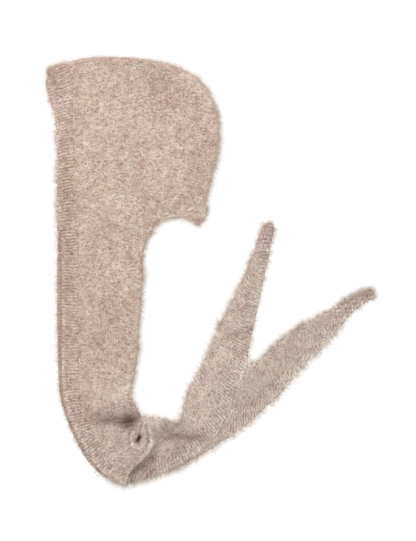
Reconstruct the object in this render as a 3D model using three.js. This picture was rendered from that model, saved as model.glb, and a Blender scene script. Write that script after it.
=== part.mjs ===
// A knitted hooded scarf, laid flat on its side: the hood is folded along its centre seam, and its two
// long arms run down from it, are gathered together once and part in two pointed tips.
// Millimetres, +Z up. It lies on z = 0. The near half is on top, the far half underneath.
import * as THREE from 'three';

// Driving sizes
const WALL = 3; // thickness of the brushed knit
const SEAM_GAP = 0.4; // clearance between pieces that are linked together
const BAND_WIDTH = 27; // ribbed front band
const BAND_SHARE = 0.52; // most of an arm's width that the band takes near the tips
const RIB_PITCH = 4.9; // one knit and one purl column of the 1x1 rib
const RIB_DEPTH = 0.6;
const TIGHT_FOLD = 7; // no rib is cut between sections closer than this, where the band folds tightly
const SEAM_RAISE = 0.4; // the linked seam stands proud of the knit on both faces
const FAR_HEIGHT = WALL / 2; // middle of the far half, which lies on the surface
const HOOD_HEIGHT = 12; // middle of the near half over the head hollow
const HOOD_DOME = 2; // the near half's soft rise between its edges
const FOLD_REACH = 7; // how far the folded edge stands out past the two flat halves
const HOOD_ROWS = 12; // sections down the hood
const NAPE_COLUMNS = 4; // cells between the neck's inner corner and the folded back edge
const CROWN_SHARE = 0.58; // part of the folded edge that runs over the crown, the rest runs down the back
const NECK_SHARE = 0.62; // part of the hood's depth that carries on down into the arm
const BAND_SHARE_OF_HOOD = 0.1; // band width as a part of the hood's depth
const QUARTER_TURN = Math.PI / 2;
// angles round the folded edge, from the near half over the crest to the far half
const FOLD_ANGLES = [90, 65, 42, 22, -22, -42, -65, -90].map(THREE.MathUtils.degToRad);
const SEAM_CELL = 3; // the cell between the angles 22 and -22 is the centre seam

const COLUMNS = ['edge', 'rib', 'body', 'inner', 'pit', 'roll', 'back'];
const RIB_COLUMN = COLUMNS.indexOf('rib');
const BACK_COLUMN = COLUMNS.indexOf('back');

// The folded edge in plan, from the face opening over the crown and down to the nape
const hoodOutline = [
  { x: -255, y: 310 },
  { x: -226, y: 322 },
  { x: -185, y: 330 },
  { x: -133, y: 331.5 },
  { x: -92, y: 327 },
  { x: -50.5, y: 316 },
  { x: -24.5, y: 302.5 },
  { x: -5.5, y: 282.3 },
  { x: 7.6, y: 256 },
  { x: 14.5, y: 225 },
  { x: 12.5, y: 189 },
  { x: 4, y: 152 },
  { x: -4, y: 112 },
  { x: -9.5, y: 71 },
];
// The part of that edge that each half reaches along: the far half stands out at both ends
const NEAR_REACH = { from: 0.015, to: 0.957 };
const FAR_REACH = { from: 0, to: 1 };

// Face opening, from the crown down to the neck
const nearFront = [
  { x: -238, y: 298, z: 11.2 },
  { x: -234, y: 280, z: 10.4 },
  { x: -235, y: 260, z: 10 },
  { x: -238, y: 236, z: 10 },
  { x: -237, y: 201, z: 10 },
  { x: -235, y: 174, z: 10 },
  { x: -236, y: 132, z: 9.8 },
  { x: -237, y: 98, z: 9.2 },
  { x: -233, y: 74, z: 8.3 },
  { x: -230, y: 56, z: 7.5 },
];
const farFront = [
  { x: -257, y: 298 },
  { x: -253, y: 279 },
  { x: -247, y: 260 },
  { x: -240, y: 237 },
  { x: -238, y: 201 },
  { x: -236, y: 174 },
  { x: -237, y: 132 },
  { x: -238, y: 98 },
  { x: -236, y: 74 },
  { x: -236, y: 56 },
];

// Nape edge, from the neck's inner corner to the folded edge
const nearNape = [
  { x: -88, y: 71, z: 8.5 },
  { x: -71, y: 85, z: 9.5 },
  { x: -50, y: 92, z: 10.5 },
  { x: -30, y: 94, z: 11.5 },
];
const farNape = [
  { x: -88.5, y: 67 },
  { x: -71, y: 80 },
  { x: -52, y: 84 },
  { x: -30, y: 79 },
];

// Sections of the near arm from the neck down to the gather: ends in plan, and the height of the middle of
// the knit at the front edge, half way and at the back edge
const nearNeck = [
  { name: 'neck', edge: [-230, 56], back: [-88, 71], zEdge: 7.5, zMiddle: 8, zBack: 8.5 },
  { name: 'below neck', edge: [-229, 34], back: [-101.5, 39], zEdge: 6.8, zMiddle: 7.2, zBack: 7 },
  { name: 'chest 1', edge: [-229, -5], back: [-104, -8], zEdge: 6.2, zMiddle: 6.8, zBack: 6.2 },
  { name: 'chest 2', edge: [-229, -43], back: [-106.6, -43], zEdge: 6.2, zMiddle: 7, zBack: 6.2 },
  { name: 'chest 3', edge: [-229, -82], back: [-109, -82], zEdge: 6.2, zMiddle: 6.8, zBack: 6.2 },
  { name: 'chest 4', edge: [-229, -121], back: [-111.5, -121], zEdge: 6.2, zMiddle: 7, zBack: 6.2 },
  { name: 'above gather', edge: [-229, -152], back: [-115.6, -151], zEdge: 6.2, zMiddle: 6.8, zBack: 6.2 },
  { name: 'gather starts', edge: [-228, -180], back: [-121.5, -180], zEdge: 6.2, zMiddle: 6.8, zBack: 6.2 },
];

// The gather: a dip, a twisted mound with an eye in it, a fold that doubles back under it, and a second dip
const gather = [
  {
    name: 'dip starts',
    edge: [-225, -202, 6.2], rib: [-198, -199, 7.5], body: [-168, -199, 10.5], inner: [-151, -199, 12.5],
    pit: [-139, -199, 13], roll: [-128, -199, 13], back: [-119, -199, 12],
  },
  {
    name: 'dip side',
    edge: [-219, -222, 6.2], rib: [-193, -215, 7.2], body: [-168, -214, 9.5], inner: [-151, -213, 11],
    pit: [-137, -213, 11.5], roll: [-125, -213, 11], back: [-112, -213, 10],
  },
  {
    name: 'dip floor',
    edge: [-212, -238, 6.2], rib: [-188, -229, 7], body: [-163, -227, 7.6], inner: [-146, -226, 8],
    pit: [-132, -226, 8], roll: [-119, -224, 7.6], back: [-106, -223, 7],
  },
  {
    name: 'mound foot',
    edge: [-206, -252, 6.2], rib: [-182, -241, 6.8], body: [-160, -238, 6.4], inner: [-143, -237, 5.4],
    pit: [-129, -236, 4.9], roll: [-116, -233, 5], back: [-102, -229, 5.6],
  },
  {
    name: 'mound rise',
    edge: [-198, -267, 6.2], rib: [-176, -253, 8.2], body: [-156, -249, 11], inner: [-139, -248, 14.5],
    pit: [-127, -246, 15.5], roll: [-114, -238, 17], back: [-98, -227, 15],
  },
  {
    name: 'mound crest',
    edge: [-189, -282, 6.6], rib: [-168, -267, 10], body: [-150, -261, 14.5], inner: [-132, -260, 19],
    pit: [-119, -252, 18.5], roll: [-108, -241, 21], back: [-93, -226, 18],
  },
  {
    name: 'eye',
    edge: [-178, -298, 8], rib: [-159, -281, 12], body: [-142, -273, 16.5], inner: [-123, -270, 20.5],
    pit: [-109, -258, 13], roll: [-100, -243, 21.5], back: [-89, -225, 18.5],
  },
  {
    name: 'after the eye',
    edge: [-166, -311, 12], rib: [-150, -292, 14.5], body: [-133, -284, 17.5], inner: [-113, -274, 20.5],
    pit: [-103, -260, 15.5], roll: [-95, -244, 21.5], back: [-86, -225, 18.5],
  },
  {
    name: 'upper layer',
    edge: [-152, -322, 15], rib: [-139, -302, 16.5], body: [-122, -291, 18], inner: [-105, -276, 20],
    pit: [-97, -262, 18.5], roll: [-90, -245, 21], back: [-84, -225, 18],
  },
  {
    name: 'upper fold, top',
    edge: [-136, -328, 15.6], rib: [-127, -308, 16.6], body: [-112, -294, 18], inner: [-95, -277, 19],
    pit: [-91, -262, 19], roll: [-86, -245, 20.5], back: [-81, -225, 18],
  },
  {
    name: 'upper fold, crest',
    edge: [-132, -330, 13.2], rib: [-123, -309, 14], body: [-109, -295, 15.4], inner: [-92, -276, 18],
    pit: [-88, -261, 18.4], roll: [-84, -244, 19.6], back: [-79.5, -225.5, 17.6],
  },
  {
    name: 'upper fold, under',
    edge: [-136, -328, 10.8], rib: [-127, -308, 11.4], body: [-112, -293, 12.8], inner: [-91.3, -274, 16.8],
    pit: [-86.6, -260, 17.8], roll: [-82, -243, 18.8], back: [-78, -225.7, 17.3],
  },
  {
    name: 'lower fold, top',
    edge: [-147, -322, 10.8], rib: [-136, -304, 11], body: [-116, -291, 12], inner: [-90.6, -273, 15.6],
    pit: [-85, -259.4, 17], roll: [-80, -242.4, 18], back: [-76.4, -226, 17],
  },
  {
    name: 'lower fold, crest',
    edge: [-151, -320, 8.4], rib: [-139, -302, 8.5], body: [-118, -290, 9.4], inner: [-89.8, -271.8, 14.6],
    pit: [-83.5, -258.6, 16], roll: [-78.4, -241.8, 17], back: [-75, -226, 16.6],
  },
  {
    name: 'lower fold, under',
    edge: [-147, -322, 6], rib: [-136, -304, 6.1], body: [-116, -291, 6.8], inner: [-88, -270.5, 13.6],
    pit: [-81.7, -257.6, 15], roll: [-76.4, -241, 16], back: [-73, -226.3, 16.2],
  },
  {
    name: 'ribs come out',
    edge: [-128, -327, 5.9], rib: [-121, -305, 6.2], body: [-106, -289, 6.8], inner: [-84, -266, 12.6],
    pit: [-78, -253, 13.4], roll: [-73, -239, 11.5], back: [-69, -227, 14],
  },
  {
    name: 'shoulder',
    edge: [-108, -323, 5.9], rib: [-104, -298, 7], body: [-92, -281, 8.6], inner: [-76, -260, 11.5],
    pit: [-71, -250, 10], roll: [-67, -239, 7.5], back: [-64, -228, 12],
  },
  {
    name: 'second dip',
    edge: [-88, -317, 5.9], rib: [-88, -292, 8], body: [-81, -274, 9.4], inner: [-68, -256, 9.5],
    pit: [-64, -247, 6.4], roll: [-60, -239, 6.4], back: [-58, -230, 10.5],
  },
  {
    name: 'second dip floor',
    edge: [-66, -309, 5.9], rib: [-71, -284, 8.6], body: [-67, -267, 9.2], inner: [-60, -252, 6.6],
    pit: [-57, -245, 5], roll: [-54, -239, 5.6], back: [-53, -232, 8.4],
  },
  {
    name: 'dip ends',
    edge: [-46, -299, 5.9], rib: [-54, -276, 8.4], body: [-54, -262, 8], inner: [-51, -249, 5.4],
    pit: [-49, -243, 4.9], roll: [-48, -237, 5.4], back: [-48.5, -231, 7],
  },
  {
    name: 'arms part',
    edge: [-27, -288, 5.9], rib: [-38, -266, 7.4], body: [-43, -254, 6.8], inner: [-43, -243, 5.4],
    pit: [-42.6, -236, 5.2], roll: [-43.4, -230, 5.6], back: [-45, -225, 6.6],
  },
  {
    name: 'arm opens',
    edge: [-10, -275, 5.9], rib: [-25, -256, 6.8], body: [-31, -245, 6.2], inner: [-36, -232.5, 6.2],
    pit: [-37, -225.5, 6], roll: [-39.5, -219, 6.2], back: [-42, -213, 6.4],
  },
];

// Sections of the near arm from the gather to its tip, where it comes down beside the far arm
const nearEnd = [
  { name: 'over the far arm', edge: [5, -261], back: [-38, -198], zEdge: 5.9, zMiddle: 6.4, zBack: 6 },
  { name: 'over, 2', edge: [18, -243], back: [-33, -182], zEdge: 5.9, zMiddle: 6.4, zBack: 5.9 },
  { name: 'over, 3', edge: [28, -223], back: [-26, -169], zEdge: 5.9, zMiddle: 6.2, zBack: 5.6 },
  { name: 'over, 4', edge: [43, -178], back: [-9.2, -136.8], zEdge: 5.8, zMiddle: 5.6, zBack: 4.6 },
  { name: 'leaves it', edge: [57, -151], back: [-0.5, -115.7], zEdge: 5.5, zMiddle: 4.8, zBack: 3.6 },
  { name: 'comes down', edge: [61, -119], back: [9.5, -93.7], zEdge: 4.3, zMiddle: 3.6, zBack: 2.5 },
  { name: 'lies down', edge: [67, -92], back: [20, -71.9], zEdge: 2.6, zMiddle: 2.5, zBack: 1.8 },
  { name: 'tapers', edge: [81, -29], back: [47.5, -18], zEdge: 1.6, zMiddle: 2.2, zBack: 1.6 },
  { name: 'narrow', edge: [93, 29], back: [69, 33], zEdge: 1.6, zMiddle: 2.2, zBack: 1.6 },
  { name: 'finger', edge: [96, 48], back: [75, 53], zEdge: 1.6, zMiddle: 2.4, zBack: 1.6 },
  { name: 'finger end', edge: [100, 60], back: [81, 65], zEdge: 1.8, zMiddle: 2.6, zBack: 1.8 },
  { name: 'finger round', edge: [100.5, 69], back: [86, 72], zEdge: 1.8, zMiddle: 2.6, zBack: 1.8 },
  { name: 'tip', edge: [96.5, 75], back: [91, 75.5], zEdge: 1.8, zMiddle: 2.2, zBack: 1.8 },
];

// Sections of the far arm, which lies flat from the neck to its tip
const farArm = [
  { name: 'neck', edge: [-236, 56], back: [-88.5, 67] },
  { name: 'below neck', edge: [-236, 34], back: [-101.5, 37] },
  { name: 'chest 1', edge: [-237, -5], back: [-105.5, -8] },
  { name: 'chest 2', edge: [-237, -43], back: [-108.5, -43] },
  { name: 'chest 3', edge: [-237, -82], back: [-111.5, -82] },
  { name: 'chest 4', edge: [-236, -121], back: [-114, -121] },
  { name: 'bend 1', edge: [-235, -164], back: [-119.5, -161] },
  { name: 'bend 2', edge: [-233, -188], back: [-124, -186] },
  { name: 'bend 3', edge: [-229, -208], back: [-121.5, -203] },
  { name: 'bend 4', edge: [-222, -227], back: [-115, -217] },
  { name: 'bend 5', edge: [-215, -247], back: [-109, -228] },
  { name: 'bend 6', edge: [-205, -267], back: [-101, -236] },
  { name: 'bend 7', edge: [-194, -287], back: [-92, -241] },
  { name: 'bend 8', edge: [-182, -303], back: [-81, -243] },
  { name: 'bend 9', edge: [-167, -316], back: [-71, -244] },
  { name: 'bend 10', edge: [-151, -325], back: [-60, -243] },
  { name: 'bend 11', edge: [-132, -330], back: [-49, -240] },
  { name: 'bend 12', edge: [-111, -324.5], back: [-39, -237] },
  { name: 'bend 13', edge: [-89, -318], back: [-29, -232] },
  { name: 'bend 14', edge: [-67, -310], back: [-19, -226] },
  { name: 'under the near arm 1', edge: [-46, -301], back: [-8, -219] },
  { name: 'under the near arm 2', edge: [-22, -290], back: [2, -209] },
  { name: 'under the near arm 3', edge: [2, -275], back: [15, -198] },
  { name: 'comes out 1', edge: [24, -261], back: [28, -185] },
  { name: 'comes out 2', edge: [46, -246], back: [42, -160] },
  { name: 'comes out 3', edge: [66, -230], back: [59, -142] },
  { name: 'comes out 4', edge: [84, -213], back: [72, -142] },
  { name: 'free 1', edge: [105, -196], back: [88, -131.5] },
  { name: 'free 2', edge: [123, -175], back: [105, -115] },
  { name: 'free 3', edge: [139, -154.2], back: [123.5, -99.8] },
  { name: 'free 4', edge: [156.5, -135.5], back: [142.2, -86.6] },
  { name: 'free 5', edge: [174.5, -119.7], back: [159, -76.6] },
  { name: 'free 6', edge: [203, -86], back: [195.8, -53.2] },
  { name: 'narrow', edge: [218, -69], back: [211.8, -44.2] },
  { name: 'finger', edge: [232, -56], back: [227.5, -35] },
  { name: 'finger end', edge: [243.5, -47.5], back: [241, -29] },
  { name: 'finger round', edge: [252.5, -43], back: [249.3, -27.8] },
  { name: 'tip', edge: [256.5, -37], back: [255, -31.3] },
];

const shades = { near: 0xc5b3a6, far: 0xb5a295, seam: 0xbcaa9d, band: 0xbfaea2 };

function knitMaterial(color) {
  return new THREE.MeshStandardMaterial({ color, roughness: 0.95, metalness: 0 });
}

function smoothCurve(points) {
  return new THREE.CatmullRomCurve3(points, false, 'centripetal');
}

const toPoint = ({ x, y, z = FAR_HEIGHT }) => new THREE.Vector3(x, y, z);
const mix = (a, b, share) => a.clone().lerp(b, share);

const outlineCurve = smoothCurve(hoodOutline.map(toPoint));

// A point of the folded edge: along runs from the face opening to the nape, angle round the fold
function foldPoint(along, angle) {
  const farShare = (1 - Math.sin(angle)) / 2;
  const from = THREE.MathUtils.lerp(NEAR_REACH.from, FAR_REACH.from, farShare);
  const to = THREE.MathUtils.lerp(NEAR_REACH.to, FAR_REACH.to, farShare);
  const reach = THREE.MathUtils.lerp(from, to, along);
  const crest = outlineCurve.getPointAt(reach);
  const tangent = outlineCurve.getTangentAt(reach);
  const inward = new THREE.Vector3(tangent.y, -tangent.x, 0).normalize();
  const point = crest.addScaledVector(inward, WALL / 2 + FOLD_REACH * (1 - Math.cos(angle)));
  point.z = THREE.MathUtils.lerp(HOOD_HEIGHT, FAR_HEIGHT, farShare);
  return point;
}

// Seven points across an arm, evenly spaced behind the band
function armSection({ edge, back, zEdge = FAR_HEIGHT, zMiddle = FAR_HEIGHT, zBack = FAR_HEIGHT }) {
  const front = new THREE.Vector3(edge[0], edge[1], zEdge);
  const rear = new THREE.Vector3(back[0], back[1], zBack);
  const width = front.distanceTo(rear);
  const bandShare = Math.min(BAND_WIDTH / width, BAND_SHARE);
  return COLUMNS.map((_, column) => {
    const behindBand = (column - RIB_COLUMN) / (BACK_COLUMN - RIB_COLUMN);
    const share = column === 0 ? 0 : bandShare + (1 - bandShare) * behindBand;
    const point = mix(front, rear, share);
    const rise = zMiddle - (zEdge + zBack) / 2;
    point.z += rise * Math.sin(Math.PI * share);
    return point;
  });
}

const gatherSection = (section) => COLUMNS.map((column) => new THREE.Vector3(...section[column]));

// Share of the hood's depth at each column
function hoodShares() {
  const shares = COLUMNS.map((_, column) => {
    const behindBand = (column - RIB_COLUMN) / (BACK_COLUMN - RIB_COLUMN);
    return column === 0 ? 0 : BAND_SHARE_OF_HOOD + (NECK_SHARE - BAND_SHARE_OF_HOOD) * behindBand;
  });
  for (let step = 1; step <= NAPE_COLUMNS; step += 1) {
    shares.push(NECK_SHARE + ((1 - NECK_SHARE) * step) / NAPE_COLUMNS);
  }
  return shares;
}

// One side of the hood as rows of points, blended between its four edges
function hoodSide({ angle, front, neckRow, nape, dome }) {
  const across = hoodShares();
  const frontCurve = smoothCurve([foldPoint(0, angle), ...front.map(toPoint)]);
  const napeCurve = smoothCurve([...nape.map(toPoint), foldPoint(1, angle)]);
  const top = across.map((share) => foldPoint(CROWN_SHARE * share, angle));
  const bottom = [...neckRow];
  for (let step = 1; step <= NAPE_COLUMNS; step += 1) bottom.push(napeCurve.getPointAt(step / NAPE_COLUMNS));
  const last = across.length - 1;
  const rows = [];
  for (let row = 0; row <= HOOD_ROWS; row += 1) {
    const down = row / HOOD_ROWS;
    const left = frontCurve.getPointAt(down);
    const right = foldPoint(CROWN_SHARE + (1 - CROWN_SHARE) * down, angle);
    rows.push(across.map((share, column) => {
      const upAndDown = mix(top[column], bottom[column], down);
      const sideToSide = mix(left, right, share);
      const corners = mix(mix(top[0], bottom[0], down), mix(top[last], bottom[last], down), share);
      const point = upAndDown.add(sideToSide).sub(corners);
      point.z += dome * Math.sin(Math.PI * share) * Math.sin(Math.PI * down);
      return point;
    }));
  }
  return rows;
}

// The middle surface of the whole garment: shared points, and four-cornered cells that each name a piece.
// Corners run anticlockwise seen from the outer face.
const points = [];
const cells = [];

function addPoint(point) {
  points.push(point);
  return points.length - 1;
}

const addRows = (rows) => rows.map((row) => row.map(addPoint));
const pieceOfColumn = (column, panel) => (column < RIB_COLUMN ? 'front_rib_band' : panel);

function addSheetCells(rows, panel, outerFaceUp) {
  for (let row = 0; row + 1 < rows.length; row += 1) {
    const width = Math.min(rows[row].length, rows[row + 1].length);
    for (let column = 0; column + 1 < width; column += 1) {
      const corners = [rows[row][column], rows[row + 1][column], rows[row + 1][column + 1], rows[row][column + 1]];
      if (!outerFaceUp) corners.reverse();
      cells.push({ corners, piece: pieceOfColumn(column, panel) });
    }
  }
}

const nearArmRows = [
  ...nearNeck.map(armSection),
  ...gather.map(gatherSection),
  ...nearEnd.map(armSection),
];
const farArmRows = farArm.map(armSection);

const nearHoodRows = hoodSide({
  angle: QUARTER_TURN, front: nearFront, neckRow: nearArmRows[0], nape: nearNape, dome: HOOD_DOME,
});
const farHoodRows = hoodSide({
  angle: -QUARTER_TURN, front: farFront, neckRow: farArmRows[0], nape: farNape, dome: 0,
});

const nearHood = addRows(nearHoodRows);
const farHood = addRows(farHoodRows);
const near = [...nearHood, ...addRows(nearArmRows.slice(1))];
const far = [...farHood, ...addRows(farArmRows.slice(1))];
addSheetCells(near, 'near_panel', true);
addSheetCells(far, 'far_panel', false);

// Points of a hood side along the folded edge: over the crown, then down the back
const alongFold = (hood) => [...hood[0], ...hood.slice(1).map((row) => row[row.length - 1])];

function foldStations() {
  const overCrown = hoodShares().map((share) => CROWN_SHARE * share);
  const downBack = [];
  for (let row = 1; row <= HOOD_ROWS; row += 1) downBack.push(CROWN_SHARE + ((1 - CROWN_SHARE) * row) / HOOD_ROWS);
  return [...overCrown, ...downBack];
}

const stations = foldStations();
const innerAngles = FOLD_ANGLES.slice(1, -1);
const foldRings = [
  alongFold(nearHood),
  ...innerAngles.map((angle) => stations.map((along) => addPoint(foldPoint(along, angle)))),
  alongFold(farHood),
];

function pieceOfFoldCell(ring, station) {
  if (station < RIB_COLUMN) return 'front_rib_band';
  if (ring === SEAM_CELL) return 'centre_seam';
  return ring < SEAM_CELL ? 'near_panel' : 'far_panel';
}

for (let ring = 0; ring + 1 < foldRings.length; ring += 1) {
  for (let station = 0; station + 1 < stations.length; station += 1) {
    const [upper, lower] = [foldRings[ring], foldRings[ring + 1]];
    const corners = [upper[station], upper[station + 1], lower[station + 1], lower[station]];
    cells.push({ corners, piece: pieceOfFoldCell(ring, station) });
  }
}

// Outer-face normals, averaged over the cells that meet at a point
function pointNormals() {
  const normals = points.map(() => new THREE.Vector3());
  for (const { corners } of cells) {
    const [a, b, c, d] = corners.map((id) => points[id]);
    const facing = c.clone().sub(a).cross(d.clone().sub(b)).normalize();
    for (const id of corners) normals[id].add(facing);
  }
  return normals.map((normal) => normal.normalize());
}

const normals = pointNormals();

const edgeKey = (a, b) => (a < b ? `${a}_${b}` : `${b}_${a}`);
const cellEdges = ({ corners }) => corners.map((id, index) => [id, corners[(index + 1) % corners.length]]);

function countEdges(list) {
  const count = new Map();
  for (const cell of list) {
    for (const [a, b] of cellEdges(cell)) count.set(edgeKey(a, b), (count.get(edgeKey(a, b)) ?? 0) + 1);
  }
  return count;
}

const allEdges = countEdges(cells);

// Where a piece meets another one, its points draw back by half of the clearance
function drawnBack(pieceCells) {
  const own = countEdges(pieceCells);
  const inwards = new Map();
  for (const cell of pieceCells) {
    const middle = cell.corners.reduce((sum, id) => sum.add(points[id]), new THREE.Vector3()).divideScalar(4);
    for (const [a, b] of cellEdges(cell)) {
      const key = edgeKey(a, b);
      if (own.get(key) !== 1 || allEdges.get(key) !== 2) continue;
      const along = points[b].clone().sub(points[a]).normalize();
      const inward = middle.clone().sub(points[a]);
      inward.addScaledVector(along, -inward.dot(along)).normalize();
      for (const id of [a, b]) inwards.set(id, [...(inwards.get(id) ?? []), inward]);
    }
  }
  const places = new Map();
  for (const id of new Set(pieceCells.flatMap((cell) => cell.corners))) {
    const place = points[id].clone();
    const [first, second = first] = inwards.get(id) ?? [];
    if (first) {
      const mitre = first.clone().add(second).divideScalar(1 + first.dot(second));
      place.addScaledVector(mitre, SEAM_GAP / 2);
    }
    places.set(id, place);
  }
  return places;
}

// A closed solid from a triangle list of corner points
class Solid {
  constructor() {
    this.positions = [];
    this.indices = [];
  }

  vertex(point) {
    this.positions.push(point.x, point.y, point.z);
    return this.positions.length / 3 - 1;
  }

  face(...ids) {
    for (let next = 2; next < ids.length; next += 1) this.indices.push(ids[0], ids[next - 1], ids[next]);
  }

  mesh(name, color) {
    const geometry = new THREE.BufferGeometry();
    geometry.setAttribute('position', new THREE.Float32BufferAttribute(this.positions, 3));
    geometry.setIndex(this.indices);
    geometry.computeVertexNormals();
    const mesh = new THREE.Mesh(geometry, knitMaterial(color));
    mesh.name = name;
    return mesh;
  }
}

// A wall of even thickness on the cells of one piece
function wall(name, color, raise = 0) {
  const pieceCells = cells.filter((cell) => cell.piece === name);
  const places = drawnBack(pieceCells);
  const solid = new Solid();
  const outer = new Map();
  const inner = new Map();
  for (const [id, place] of places) {
    const half = WALL / 2 + raise;
    outer.set(id, solid.vertex(place.clone().addScaledVector(normals[id], half)));
    inner.set(id, solid.vertex(place.clone().addScaledVector(normals[id], -half)));
  }
  const own = countEdges(pieceCells);
  for (const cell of pieceCells) {
    const [a, b, c, d] = cell.corners;
    solid.face(outer.get(a), outer.get(b), outer.get(c), outer.get(d));
    solid.face(inner.get(c), inner.get(b), inner.get(a));
    solid.face(inner.get(d), inner.get(c), inner.get(a));
    for (const [from, to] of cellEdges(cell)) {
      if (own.get(edgeKey(from, to)) !== 1) continue;
      solid.face(outer.get(to), outer.get(from), inner.get(from), inner.get(to));
    }
  }
  return solid.mesh(name, color);
}

// Sections along the front band from the near tip over the crown to the far tip. The side says which face
// shows and is ribbed: 1 the outer one, -1 the inner one, 0 neither, round the folded edge.
function bandSections() {
  const ends = (row, side) => ({ edge: row[0], rib: row[RIB_COLUMN], side });
  return [
    ...[...near].reverse().map((row) => ends(row, 1)),
    ...foldRings.slice(1, -1).map((ring) => ends(ring, 0)),
    ...far.map((row) => ends(row, -1)),
  ];
}

const turned = (list) => [...list].reverse();

// One long edge of the ribbed face between two sections: a groove in the middle of each rib, a ridge between
function ribbedEdge(solid, start, end, key, opposite, ribs) {
  const edge = [start.ids[key]];
  for (let rib = 0; rib < ribs; rib += 1) {
    const groove = (rib + 0.5) / ribs;
    const face = mix(start[key], end[key], groove);
    const behind = mix(start[opposite], end[opposite], groove);
    edge.push(solid.vertex(mix(face, behind, RIB_DEPTH / face.distanceTo(behind))));
    if (rib + 1 < ribs) edge.push(solid.vertex(mix(start[key], end[key], (rib + 1) / ribs)));
  }
  return [...edge, end.ids[key]];
}

// The strip of faces between two long edges
function strip(solid, left, right) {
  for (let step = 0; step + 1 < left.length; step += 1) {
    solid.face(left[step], right[step], right[step + 1], left[step + 1]);
  }
}

// A side wall between a ribbed edge, whose odd points are grooves, and the plain edge of the other face
function sideWall(solid, ribbed, [plainStart, plainEnd]) {
  const grooves = ribbed.filter((_, place) => place % 2 === 1);
  const lastPoint = ribbed[ribbed.length - 1];
  if (ribbed.length === 2) {
    solid.face(plainStart, ...ribbed, plainEnd);
    return;
  }
  solid.face(plainStart, ribbed[0], grooves[0]);
  for (let groove = 0; groove + 1 < grooves.length; groove += 1) {
    solid.face(plainStart, grooves[groove], grooves[groove + 1]);
    solid.face(grooves[groove], ribbed[2 * groove + 2], grooves[groove + 1]);
  }
  solid.face(plainStart, grooves[grooves.length - 1], plainEnd);
  solid.face(grooves[grooves.length - 1], lastPoint, plainEnd);
}

// The front band: whole ribs between each two sections, cut as grooves into the face that shows
function ribbedBand(name, color) {
  const places = drawnBack(cells.filter((cell) => cell.piece === name));
  const solid = new Solid();
  const offset = (id, distance) => places.get(id).clone().addScaledVector(normals[id], distance);
  const sections = bandSections().map(({ edge, rib, side }) => {
    const section = {
      edgeOuter: offset(edge, WALL / 2),
      ribOuter: offset(rib, WALL / 2),
      edgeInner: offset(edge, -WALL / 2),
      ribInner: offset(rib, -WALL / 2),
    };
    const ids = Object.fromEntries(Object.entries(section).map(([key, point]) => [key, solid.vertex(point)]));
    return { ...section, ids, side };
  });
  sections.slice(1).forEach((end, index) => {
    const start = sections[index];
    const side = start.side === end.side ? start.side : 0;
    const length = mix(start.edgeOuter, start.ribOuter, 0.5).distanceTo(mix(end.edgeOuter, end.ribOuter, 0.5));
    const ribsOn = (face) => (side === face && length > TIGHT_FOLD ? Math.round(length / RIB_PITCH) : 0);
    const outerEdge = ribbedEdge(solid, start, end, 'edgeOuter', 'edgeInner', ribsOn(1));
    const outerRib = ribbedEdge(solid, start, end, 'ribOuter', 'ribInner', ribsOn(1));
    const innerEdge = ribbedEdge(solid, start, end, 'edgeInner', 'edgeOuter', ribsOn(-1));
    const innerRib = ribbedEdge(solid, start, end, 'ribInner', 'ribOuter', ribsOn(-1));
    strip(solid, outerEdge, outerRib);
    strip(solid, innerRib, innerEdge);
    if (side === -1) {
      sideWall(solid, turned(innerEdge), turned(outerEdge));
      sideWall(solid, innerRib, outerRib);
    } else {
      sideWall(solid, outerEdge, innerEdge);
      sideWall(solid, turned(outerRib), turned(innerRib));
    }
  });
  const tip = ({ ids }) => [ids.edgeOuter, ids.ribOuter, ids.ribInner, ids.edgeInner];
  solid.face(...turned(tip(sections[0])));
  solid.face(...tip(sections[sections.length - 1]));
  return solid.mesh(name, color);
}

const garment = new THREE.Group();
garment.add(
  wall('near_panel', shades.near),
  wall('far_panel', shades.far),
  wall('centre_seam', shades.seam, SEAM_RAISE),
  ribbedBand('front_rib_band', shades.band),
);

// The origin is under the middle of the garment's box, on the surface it lies on
const box = new THREE.Box3().setFromObject(garment);
const centre = box.getCenter(new THREE.Vector3());
garment.position.set(-centre.x, -centre.y, -box.min.z);

const hoodedScarf = new THREE.Group();
hoodedScarf.add(garment);

export default hoodedScarf;
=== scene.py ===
"""A knitted hooded scarf that lies flat on its side, with its brushed knit, ribbed band, seam and nap.

Lengths in the tables are millimetres and repeat the sections of the part's source. The meshes are made
in metres, in the frame of the part.
"""
import math

import bpy
import numpy as np
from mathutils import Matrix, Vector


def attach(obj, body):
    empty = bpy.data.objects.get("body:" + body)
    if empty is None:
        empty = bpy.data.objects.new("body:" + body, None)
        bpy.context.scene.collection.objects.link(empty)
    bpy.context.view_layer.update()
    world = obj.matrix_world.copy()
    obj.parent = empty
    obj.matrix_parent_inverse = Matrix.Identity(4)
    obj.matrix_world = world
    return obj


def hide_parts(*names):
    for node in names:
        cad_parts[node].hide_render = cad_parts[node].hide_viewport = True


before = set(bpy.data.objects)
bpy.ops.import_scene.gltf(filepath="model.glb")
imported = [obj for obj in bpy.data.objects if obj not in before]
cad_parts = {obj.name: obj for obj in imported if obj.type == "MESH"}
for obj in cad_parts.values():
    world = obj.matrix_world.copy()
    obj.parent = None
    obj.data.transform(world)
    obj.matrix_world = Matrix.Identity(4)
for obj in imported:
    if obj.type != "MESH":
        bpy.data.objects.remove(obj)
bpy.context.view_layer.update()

# Sizes of the garment
MM = 0.001
SHIFT = np.array((-0.967, -0.46, 0.0))  # from the tables' origin to the part's
WALL = 3.0  # thickness of the knit
BAND_WIDTH = 27.0
BAND_SHARE = 0.52  # the largest part of an arm's width that the band takes
RIB_PITCH = 4.9
FAR_HEIGHT = WALL / 2  # of the far half's middle
HOOD_HEIGHT = 12.0  # of the near half's middle
HOOD_DOME = 2.0
FOLD_REACH = 7.0  # of the fold past the edges of the halves
CROWN_SHARE = 0.58  # of the folded edge, before it runs down the back
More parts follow.
